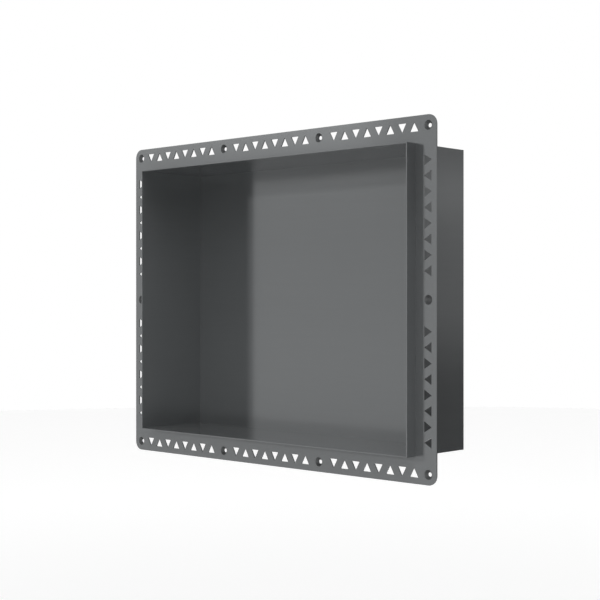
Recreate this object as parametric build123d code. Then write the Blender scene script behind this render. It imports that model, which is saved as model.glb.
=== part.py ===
from build123d import *
import math
import os

# Shower niche insert: an open-fronted box of thin steel sheet, let into a wall between studs.
# X runs to the right, Y runs into the wall and Z is up.
# The origin is the middle of the screw pattern, in the plane where the countersinks end and
# the plain screw holes start. The flange's front face lies one countersink in front of it.

# Sheet and box
SHEET = 1.2
NICHE_WIDTH = 402.0
NICHE_HEIGHT = 300.4
NICHE_DEPTH = 88.9
COLLAR_PROJECTION = 12.7
LIP_ROUND = 0.3
BOX_CORNER_ROUND = 0.8

# Flange that the tiles and their adhesive cover
FLANGE_MARGIN = 27.6
FLANGE_CORNER_RADIUS = 10.0

# Screw holes with pressed countersinks
SCREW_INSET = 10.3
SCREW_HOLE = 4.2
COUNTERSINK = 9.6
COUNTERSINK_ANGLE = 90.0
RIM_LENGTH = 0.5
INNER_SCREW_SPACING = 146.1

# Triangular key holes, in groups of alternating direction
KEY_SIDE = 10.7
KEY_CORNER_FLAT = 0.45
KEY_ROW_INSET = 10.8
KEY_PITCH = 15.24
KEYS_IN_GROUP = 8
ROW_GROUP_STEP = 147.2
SIDE_GROUP_CENTRE = 82.4
SIDE_GROUP_SHIFT = 1.4

# Sizes that follow from the ones above
BOX_WIDTH = NICHE_WIDTH + 2 * SHEET
BOX_HEIGHT = NICHE_HEIGHT + 2 * SHEET
FLANGE_WIDTH = NICHE_WIDTH + 2 * FLANGE_MARGIN
FLANGE_HEIGHT = NICHE_HEIGHT + 2 * FLANGE_MARGIN
COUNTERSINK_SLOPE = math.tan(math.radians(COUNTERSINK_ANGLE / 2))
FRONT_FACE = -(COUNTERSINK - SCREW_HOLE) / 2 / COUNTERSINK_SLOPE
REAR_FACE = FRONT_FACE + SHEET
COLLAR_FRONT = FRONT_FACE - COLLAR_PROJECTION
NICHE_BACK = COLLAR_FRONT + NICHE_DEPTH
SCREW_X = FLANGE_WIDTH / 2 - SCREW_INSET
SCREW_Z = FLANGE_HEIGHT / 2 - SCREW_INSET
KEY_X = FLANGE_WIDTH / 2 - KEY_ROW_INSET
KEY_Z = FLANGE_HEIGHT / 2 - KEY_ROW_INSET
KEY_HEIGHT = KEY_SIDE * math.sqrt(3) / 2
KEY_BAND = KEY_HEIGHT - KEY_CORNER_FLAT * math.sqrt(3) / 2
KEY_SHIFT = KEY_BAND / 2 - KEY_HEIGHT / 3


def prism(outline, y_front, y_back):
    """The outline, drawn with X to the right and Z up, as a solid from y_front to y_back."""
    plane = Plane(origin=(0, y_front, 0), x_dir=(1, 0, 0), z_dir=(0, -1, 0))
    return extrude(plane * outline, amount=y_front - y_back)


def box_shell():
    """The box: four walls and a back, open at the front, with its bends slightly rounded."""
    outer = prism(Rectangle(BOX_WIDTH, BOX_HEIGHT), COLLAR_FRONT, NICHE_BACK + SHEET)
    back_edges = outer.faces().sort_by(Axis.Y)[-1].edges()
    outer = fillet(back_edges, BOX_CORNER_ROUND)
    cavity = prism(Rectangle(NICHE_WIDTH, NICHE_HEIGHT), COLLAR_FRONT, NICHE_BACK)
    shell = outer - cavity
    rim = shell.faces().sort_by(Axis.Y)[0]
    return fillet(rim.edges(), LIP_ROUND)


def flange_blank():
    """The flat frame round the box, one sheet thick, with rounded outer corners."""
    outline = RectangleRounded(FLANGE_WIDTH, FLANGE_HEIGHT, FLANGE_CORNER_RADIUS)
    window = Rectangle(BOX_WIDTH, BOX_HEIGHT)
    return prism(outline - window, FRONT_FACE, REAR_FACE)


def screw_points():
    """Middles of the ten screw holes: four along the top, four along the bottom, one each side."""
    inner_x = INNER_SCREW_SPACING / 2
    points = [(x, z) for z in (SCREW_Z, -SCREW_Z) for x in (-SCREW_X, -inner_x, inner_x, SCREW_X)]
    return points + [(-SCREW_X, 0), (SCREW_X, 0)]


def countersink_cone(y_end, wall=0.0):
    """The pressed cone from the front face back to y_end, thicker by a wall square to its side."""
    mouth = COUNTERSINK / 2 + wall / math.cos(math.radians(COUNTERSINK_ANGLE / 2))
    small_end = mouth - (y_end - FRONT_FACE) * COUNTERSINK_SLOPE
    half_section = Polyline(
        (0, FRONT_FACE), (mouth, FRONT_FACE), (small_end, y_end), (0, y_end), close=True
    )
    return revolve(make_face(half_section), Axis.Y)


def screw_hole_solids():
    """The sheet pressed back round one screw hole, and the space that is cut out of it."""
    boss = countersink_cone(RIM_LENGTH, wall=SHEET)
    bore = Plane.XZ * Cylinder(SCREW_HOLE / 2, 4 * SHEET)
    return boss, countersink_cone(0) + bore


def key_outline(direction):
    """A triangle with blunted corners that points to direction degrees, held in its row's band."""
    triangle = Polyline(
        (KEY_HEIGHT * 2 / 3, 0),
        (-KEY_HEIGHT / 3, KEY_SIDE / 2),
        (-KEY_HEIGHT / 3, -KEY_SIDE / 2),
        close=True,
    )
    face = chamfer(make_face(triangle).vertices(), KEY_CORNER_FLAT)
    return Rot(0, 0, direction) * Pos(-KEY_SHIFT, 0) * face


def key_group(centre_x, centre_z, step_direction, first_direction):
    """One group of key holes along a line, each pointing the other way from the one before."""
    step = Vector(1, 0).rotate(Axis.Z, step_direction) * KEY_PITCH
    outlines = []
    for i in range(KEYS_IN_GROUP):
        offset = step * (i - (KEYS_IN_GROUP - 1) / 2)
        place = Pos(centre_x + offset.X, centre_z + offset.Y)
        outlines.append(place * key_outline(first_direction + 180 * (i % 2)))
    return outlines


def key_holes():
    """All key holes: three groups in the top and bottom rows, two groups down each side."""
    outlines = []
    for z in (KEY_Z, -KEY_Z):
        for x in (-ROW_GROUP_STEP, 0, ROW_GROUP_STEP):
            outlines += key_group(x, z, 0, -90)
    for side in (-1, 1):
        for group in (1, -1):
            z = group * SIDE_GROUP_CENTRE - side * SIDE_GROUP_SHIFT
            outlines += key_group(side * KEY_X, z, -90, 0)
    return [prism(outline, FRONT_FACE, REAR_FACE) for outline in outlines]


def perforated_flange():
    """The flange with its pressed countersinks and its key holes."""
    boss, space = screw_hole_solids()
    places = [Pos(x, 0, z) for x, z in screw_points()]
    flange = flange_blank()
    flange += [place * boss for place in places]
    flange -= [place * space for place in places]
    flange -= key_holes()
    return flange


def niche_insert():
    """The flange and the box, welded into one body."""
    insert = perforated_flange() + box_shell()
    return insert.clean()


os.makedirs("parts", exist_ok=True)
insert = niche_insert()
export_step(insert, "parts/niche_insert.step")
print("niche_insert", insert.bounding_box(), round(insert.volume), "mm3")
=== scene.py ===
import math

import bmesh
import bpy
from mathutils import Matrix, Vector

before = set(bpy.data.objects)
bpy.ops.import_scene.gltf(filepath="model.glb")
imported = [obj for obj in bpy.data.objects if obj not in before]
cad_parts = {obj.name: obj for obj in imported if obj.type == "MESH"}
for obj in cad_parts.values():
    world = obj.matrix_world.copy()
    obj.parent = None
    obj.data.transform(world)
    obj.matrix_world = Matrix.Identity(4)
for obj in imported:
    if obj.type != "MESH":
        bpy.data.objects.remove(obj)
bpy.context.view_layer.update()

# Everything is in metres, in the part's own frame.

# Camera, at the photograph's viewing angle
IMAGE_SIDE_PX = 600.0
FOCAL_PX = 1266.9
PRINCIPAL_PX = (363.99, 299.32)
CAMERA_PLACE = (0.9805, -0.9478, 0.0005)
CAMERA_TURN_DEG = 41.79
SENSOR_MM = 36.0

# White floor, which glows more with its distance from the niche: (distance, glow)
FLOOR_HEIGHT = -0.62
FLOOR_RADIUS = 6.0
FLOOR_SEGMENTS = 96
FLOOR_COLOUR = (0.80, 0.80, 0.80)
FLOOR_GLOW_NEAR = (0.8, 0.26)
FLOOR_GLOW_FAR = (3.0, 0.42)

# World: its light on matt surfaces, and what metal mirrors of it: (steepness of the ray, strength)
WORLD_SOFT = 0.34
SKY_LOW = (0.45, 1.0)
SKY_HIGH = (0.75, 0.35)

# Soft lamps, which face the niche: place, width and height, radiance (1 is white), whether metal
# mirrors them, and whether they light matt surfaces
LAMPS = {
    "fill_light": ((1.63, -1.47, -0.17), (2.54, 0.82), 1.8, True, False),
    "top_light": ((0.754, -0.679, 2.175), (2.77, 1.75), 2.1, False, True),
    "strip_light": ((-9.13, -7.53, 1.98), (4.02, 0.63), 1.2, True, False),
}

# Distant lamps, which metal doesn't mirror: where they stand, their spread in degrees, irradiance
DISTANT_LAMPS = {
    "key_light": ((-0.676, -0.700, 0.228), 3.0, 1.48),
    "overhead_light": ((0.105, -0.393, 0.914), 12.0, 0.72),
}

# Glowing board behind on the right, which the outer side wall mirrors: (share of its height, grey)
BOARD_PLACE = (1.20, 1.25, -0.10)
BOARD_SIZE = (2.6, 1.6)
BOARD_TURN_DEG = -52.0
BOARD_GLOW = 0.96
BOARD_GREYS = ((0.00, 0.04), (0.44, 0.04), (0.47, 0.10), (0.505, 0.29), (0.545, 0.43),
               (0.66, 0.48), (0.725, 0.90), (0.755, 0.42))
STUDIO_ROUGHNESS = 0.9

# Dark satin steel, brushed level
STEEL_COLOUR = (0.146, 0.152, 0.155)
STEEL_METALLIC = 0.5
STEEL_ROUGHNESS = 0.13
STEEL_ANISOTROPY = 0.5

# Brush lines: how many cross a metre, how much longer than wide they are, and what they change
LINES_PER_METRE = 2600.0
LINE_STRETCH = 90.0
STREAKS_PER_METRE = 260.0
STREAK_STRETCH = 30.0
GRAIN_DETAIL = 2.0
GRAIN_COLOUR_SPREAD = 0.05
GRAIN_ROUGHNESS_SPREAD = 0.05
GRAIN_DEPTH = 0.0000003
SIDE_WALL_LIMIT = 0.7

# Pressed countersinks: how far their faces tilt from the flange, the painted shade that darkens
# their colour as shade in a recess would, and their higher roughness
COUNTERSINK_TILT = 0.7071
COUNTERSINK_TILT_SPREAD = 0.05
COUNTERSINK_PAINTED_SHADE = 0.5
COUNTERSINK_ROUGHNESS = 0.4


def fill(tree, made, values):
    """Puts numbers on the inputs of a node and joins sockets to them."""
    for socket, value in zip(made.inputs, values):
        if isinstance(value, bpy.types.NodeSocket):
            tree.links.new(value, socket)
        else:
            socket.default_value = value


def math_node(tree, operation, *values):
    """A Math node; each value is a number or an output socket."""
    made = tree.nodes.new("ShaderNodeMath")
    made.operation = operation
    fill(tree, made, values)
    return made.outputs[0]


def vector_node(tree, operation, *values):
    """A Vector Math node; each value is a vector or an output socket."""
    made = tree.nodes.new("ShaderNodeVectorMath")
    made.operation = operation
    fill(tree, made, values)
    return made.outputs["Value" if operation in ("DOT_PRODUCT", "LENGTH") else "Vector"]


def mix_numbers(tree, share, first, second):
    """The first number where share is 0 and the second where it is 1."""
    mix = tree.nodes.new("ShaderNodeMix")
    tree.links.new(share, mix.inputs["Factor"])
    tree.links.new(first, mix.inputs["A"])
    tree.links.new(second, mix.inputs["B"])
    return mix.outputs["Result"]


def smooth_change(tree, value, start, end):
    """A number that runs smoothly from start to end, each given as (value, result)."""
    made = tree.nodes.new("ShaderNodeMapRange")
    made.interpolation_type = "SMOOTHSTEP"
    fill(tree, made, (value, start[0], end[0], start[1], end[1]))
    return made.outputs[0]


def coordinates(tree, kind):
    """Texture coordinates of a kind, as a vector and split into X, Y and Z."""
    place = tree.nodes.new("ShaderNodeTexCoord")
    split = tree.nodes.new("ShaderNodeSeparateXYZ")
    tree.links.new(place.outputs[kind], split.inputs[0])
    return place.outputs[kind], split.outputs


def alignment(tree, normal, axis):
    """How well a normal lies along an axis, either way: 0 is square to it and 1 is along it."""
    return math_node(tree, "ABSOLUTE", vector_node(tree, "DOT_PRODUCT", normal, axis))


def make_camera():
    """The camera, level and turned towards the niche."""
    data = bpy.data.cameras.new("camera")
    data.sensor_width = SENSOR_MM
    data.lens = FOCAL_PX * SENSOR_MM / IMAGE_SIDE_PX
    data.shift_x = (IMAGE_SIDE_PX / 2 - PRINCIPAL_PX[0]) / IMAGE_SIDE_PX
    data.shift_y = (PRINCIPAL_PX[1] - IMAGE_SIDE_PX / 2) / IMAGE_SIDE_PX
    data.dof.use_dof = False
    camera = bpy.data.objects.new("camera", data)
    camera.location = CAMERA_PLACE
    camera.rotation_euler = (math.pi / 2, 0, math.radians(CAMERA_TURN_DEG))
    bpy.context.scene.collection.objects.link(camera)
    bpy.context.scene.camera = camera


def make_world():
    """White surroundings, which metal sees greyer high up and far down, softer on matt surfaces."""
    world = bpy.data.worlds.new("studio")
    world.use_nodes = True
    bpy.context.scene.world = world
    tree = world.node_tree
    tree.nodes.clear()
    path = tree.nodes.new("ShaderNodeLightPath").outputs
    steepness = math_node(tree, "ABSOLUTE", coordinates(tree, "Generated")[1]["Z"])
    sky = smooth_change(tree, steepness, SKY_LOW, SKY_HIGH)
    seen = math_node(tree, "MAXIMUM", path["Is Camera Ray"], path["Is Transmission Ray"])
    mirrored = math_node(tree, "MULTIPLY", path["Is Glossy Ray"], sky)
    strength = math_node(tree, "MAXIMUM", math_node(tree, "MAXIMUM", seen, mirrored), WORLD_SOFT)
    background = tree.nodes.new("ShaderNodeBackground")
    background.inputs["Color"].default_value = (1, 1, 1, 1)
    tree.links.new(strength, background.inputs["Strength"])
    output = tree.nodes.new("ShaderNodeOutputWorld")
    tree.links.new(background.outputs[0], output.inputs["Surface"])


def hang_light(name, data, place):
    """A lamp at a place, turned to the niche."""
    light = bpy.data.objects.new(name, data)
    light.location = place
    light.rotation_euler = (-Vector(place)).to_track_quat("-Z", "Y").to_euler()
    bpy.context.scene.collection.objects.link(light)
    return light


def distant_light(name, direction, spread_deg, irradiance):
    """A far lamp that only shades matt surfaces, so that it draws shadows and no highlight."""
    data = bpy.data.lights.new(name, "SUN")
    data.angle = math.radians(spread_deg)
    data.energy = irradiance
    hang_light(name, data, direction).visible_glossy = False


def soft_light(name, place, size, radiance, mirrored, matt):
    """A rectangular soft lamp, as bright as its radiance."""
    data = bpy.data.lights.new(name, "AREA")
    data.shape = "RECTANGLE"
    data.size, data.size_y = size
    data.energy = radiance * math.pi * size[0] * size[1]
    light = hang_light(name, data, place)
    light.visible_camera = False
    light.visible_glossy = mirrored
    light.visible_diffuse = matt


def studio_material(name, colour):
    """A matt material for the floor or the board, which glows where it is given a strength."""
    material = bpy.data.materials.new(name)
    material.use_nodes = True
    shader = material.node_tree.nodes["Principled BSDF"]
    shader.inputs["Base Color"].default_value = (*colour, 1)
    shader.inputs["Roughness"].default_value = STUDIO_ROUGHNESS
    shader.inputs["Specular IOR Level"].default_value = 0.0
    return material, material.node_tree, shader


def stage_mesh(name, build, material):
    """A mesh of the studio, which isn't part of the niche."""
    mesh = bpy.data.meshes.new(name)
    build.to_mesh(mesh)
    build.free()
    mesh.materials.append(material)
    made = bpy.data.objects.new(name, mesh)
    bpy.context.scene.collection.objects.link(made)
    return made


def make_floor():
    """A plain white floor below the niche, which keeps its soft shadow."""
    material, tree, shader = studio_material("floor", FLOOR_COLOUR)
    shader.inputs["Emission Color"].default_value = (1, 1, 1, 1)
    distance = vector_node(tree, "LENGTH", coordinates(tree, "Object")[0])
    path = tree.nodes.new("ShaderNodeLightPath").outputs
    shown = math_node(tree, "MAXIMUM", path["Is Camera Ray"], path["Is Glossy Ray"])
    shown = math_node(tree, "MAXIMUM", shown, path["Is Transmission Ray"])
    glow = smooth_change(tree, distance, FLOOR_GLOW_NEAR, FLOOR_GLOW_FAR)
    tree.links.new(math_node(tree, "MULTIPLY", shown, glow), shader.inputs["Emission Strength"])
    build = bmesh.new()
    bmesh.ops.create_circle(build, cap_ends=True, segments=FLOOR_SEGMENTS, radius=FLOOR_RADIUS,
                            matrix=Matrix.Translation((0, 0, FLOOR_HEIGHT)))
    stage_mesh("floor", build, material)


def make_board():
    """A glowing grey board, dark at the foot and paler above, out of the camera's sight."""
    material, tree, shader = studio_material("board", (0, 0, 0))
    shader.inputs["Emission Strength"].default_value = BOARD_GLOW
    width, height = BOARD_SIZE
    foot = BOARD_PLACE[2] - height / 2
    up = coordinates(tree, "Object")[1]["Z"]
    ramp = tree.nodes.new("ShaderNodeValToRGB")
    steps = ramp.color_ramp.elements
    while len(steps) < len(BOARD_GREYS):
        steps.new(1.0)
    for step, (at, grey) in zip(steps, BOARD_GREYS):
        step.position = at
        step.color = (grey, grey, grey, 1)
    tree.links.new(math_node(tree, "MULTIPLY_ADD", up, 1 / height, -foot / height), ramp.inputs[0])
    tree.links.new(ramp.outputs[0], shader.inputs["Emission Color"])
    upright = (Matrix.Translation(BOARD_PLACE)
               @ Matrix.Rotation(math.radians(BOARD_TURN_DEG), 4, "Z")
               @ Matrix.Rotation(math.pi / 2, 4, "X")
               @ Matrix.Diagonal((width, height, 1, 1)))
    build = bmesh.new()
    bmesh.ops.create_grid(build, x_segments=1, y_segments=1, size=0.5, matrix=upright)
    stage_mesh("board", build, material).visible_camera = False


def brushed_grain():
    """Node group: level brush lines and broader streaks on all faces, as masks from 0 to 1."""
    group = bpy.data.node_groups.new("brushed_grain", "ShaderNodeTree")
    sockets = {"Lines": "INPUT", "Line Stretch": "INPUT", "Streaks": "INPUT",
               "Streak Stretch": "INPUT", "Line Mask": "OUTPUT", "Streak Mask": "OUTPUT"}
    for name, way in sockets.items():
        group.interface.new_socket(name, in_out=way, socket_type="NodeSocketFloat")
    given = group.nodes.new("NodeGroupInput").outputs
    result = group.nodes.new("NodeGroupOutput").inputs
    where = coordinates(group, "Object")[1]
    normal = group.nodes.new("ShaderNodeNewGeometry").outputs["True Normal"]
    side_wall = math_node(group, "GREATER_THAN", alignment(group, normal, (1, 0, 0)),
                          SIDE_WALL_LIMIT)
    depth_and_height = math_node(group, "ADD", where["Y"], where["Z"])
    along = mix_numbers(group, side_wall, where["X"], where["Y"])
    across = mix_numbers(group, side_wall, depth_and_height, where["Z"])
    for count, stretch, mask in (("Lines", "Line Stretch", "Line Mask"),
                                 ("Streaks", "Streak Stretch", "Streak Mask")):
        long_way = math_node(group, "DIVIDE", math_node(group, "MULTIPLY", along, given[count]),
                             given[stretch])
        short_way = math_node(group, "MULTIPLY", across, given[count])
        joined = group.nodes.new("ShaderNodeCombineXYZ")
        fill(group, joined, (long_way, short_way, side_wall))
        noise = group.nodes.new("ShaderNodeTexNoise")
        noise.inputs["Scale"].default_value = 1.0
        noise.inputs["Detail"].default_value = GRAIN_DETAIL
        group.links.new(joined.outputs[0], noise.inputs["Vector"])
        group.links.new(noise.outputs["Fac"], result[mask])
    return group


def make_steel():
    """Dark grey steel, brushed level: reflections stay narrow sideways and smear up and down."""
    material = bpy.data.materials.new("gunmetal_steel")
    material.use_nodes = True
    tree = material.node_tree
    tree.nodes.clear()
    shader = tree.nodes.new("ShaderNodeBsdfPrincipled")
    shader.inputs["Metallic"].default_value = STEEL_METALLIC
    shader.inputs["Anisotropic"].default_value = STEEL_ANISOTROPY
    geometry = tree.nodes.new("ShaderNodeNewGeometry").outputs
    grain = tree.nodes.new("ShaderNodeGroup")
    grain.node_tree = brushed_grain()
    fill(tree, grain, (LINES_PER_METRE, LINE_STRETCH, STREAKS_PER_METRE, STREAK_STRETCH))
    lines, streaks = grain.outputs["Line Mask"], grain.outputs["Streak Mask"]
    pressed = math_node(tree, "COMPARE", alignment(tree, geometry["True Normal"], (0, 1, 0)),
                        COUNTERSINK_TILT, COUNTERSINK_TILT_SPREAD)

    grey = math_node(tree, "MULTIPLY", math_node(tree, "ADD", lines, streaks), GRAIN_COLOUR_SPREAD)
    level = math_node(tree, "ADD", grey, 1.0 - GRAIN_COLOUR_SPREAD)
    # Painted shade: the countersink faces get a base colour darkened by half, standing in for the
    # shade inside these recesses.
    painted_shade = math_node(tree, "MULTIPLY_ADD", pressed, COUNTERSINK_PAINTED_SHADE - 1.0, 1.0)
    colour = vector_node(tree, "SCALE", STEEL_COLOUR)
    tree.links.new(math_node(tree, "MULTIPLY", level, painted_shade), colour.node.inputs["Scale"])
    tree.links.new(colour, shader.inputs["Base Color"])

    roughness = math_node(tree, "MULTIPLY_ADD", streaks, GRAIN_ROUGHNESS_SPREAD,
                          STEEL_ROUGHNESS - GRAIN_ROUGHNESS_SPREAD / 2)
    dull = math_node(tree, "MULTIPLY", pressed, COUNTERSINK_ROUGHNESS)
    tree.links.new(math_node(tree, "ADD", roughness, dull), shader.inputs["Roughness"])

    bump = tree.nodes.new("ShaderNodeBump")
    bump.inputs["Distance"].default_value = GRAIN_DEPTH
    tree.links.new(lines, bump.inputs["Height"])
    tree.links.new(bump.outputs[0], shader.inputs["Normal"])

    # The smear runs up walls, and front to back on level faces.
    lies_level = alignment(tree, geometry["Normal"], (0, 0, 1))
    smear = tree.nodes.new("ShaderNodeCombineXYZ")
    fill(tree, smear, (0.0, lies_level, math_node(tree, "SUBTRACT", 1.0, lies_level)))
    tree.links.new(vector_node(tree, "NORMALIZE", smear.outputs[0]), shader.inputs["Tangent"])

    output = tree.nodes.new("ShaderNodeOutputMaterial")
    tree.links.new(shader.outputs[0], output.inputs["Surface"])
    return material


make_camera()
make_world()
for lamp, (direction, spread_deg, irradiance) in DISTANT_LAMPS.items():
    distant_light(lamp, direction, spread_deg, irradiance)
for lamp, (place, size, radiance, mirrored, matt) in LAMPS.items():
    soft_light(lamp, place, size, radiance, mirrored, matt)
make_floor()
make_board()

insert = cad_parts["niche_insert"]
insert.data.materials.clear()
insert.data.materials.append(make_steel())

bpy.context.scene.view_settings.view_transform = "Standard"
